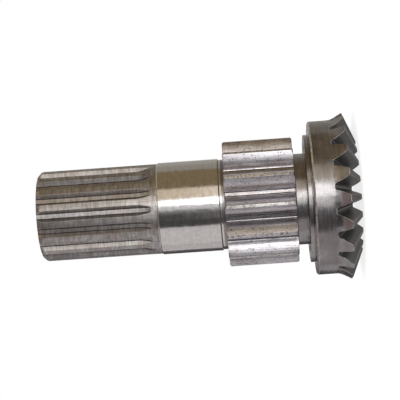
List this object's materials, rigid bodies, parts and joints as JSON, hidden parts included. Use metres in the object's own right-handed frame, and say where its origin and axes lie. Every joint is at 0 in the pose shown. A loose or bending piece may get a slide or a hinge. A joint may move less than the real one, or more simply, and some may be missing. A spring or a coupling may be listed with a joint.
{
  "type": "differential side gear",
  "caption": "Steel differential side gear with a bevel head, a spur pinion, a ground bearing journal and a splined shaft end.",
  "frame": {"origin": "centre of the plane through the toes of the bevel teeth, on which the part stands", "axes": "+Z along the shaft, from the bevel head up to the free end of the spline"},
  "size_m": [0.076, 0.076, 0.1453],
  "materials": {
    "steel": "machined, ground on the journal"
  },
  "bodies": {
    "root": {"side_gear": "steel"}
  },
  "joints": []
}
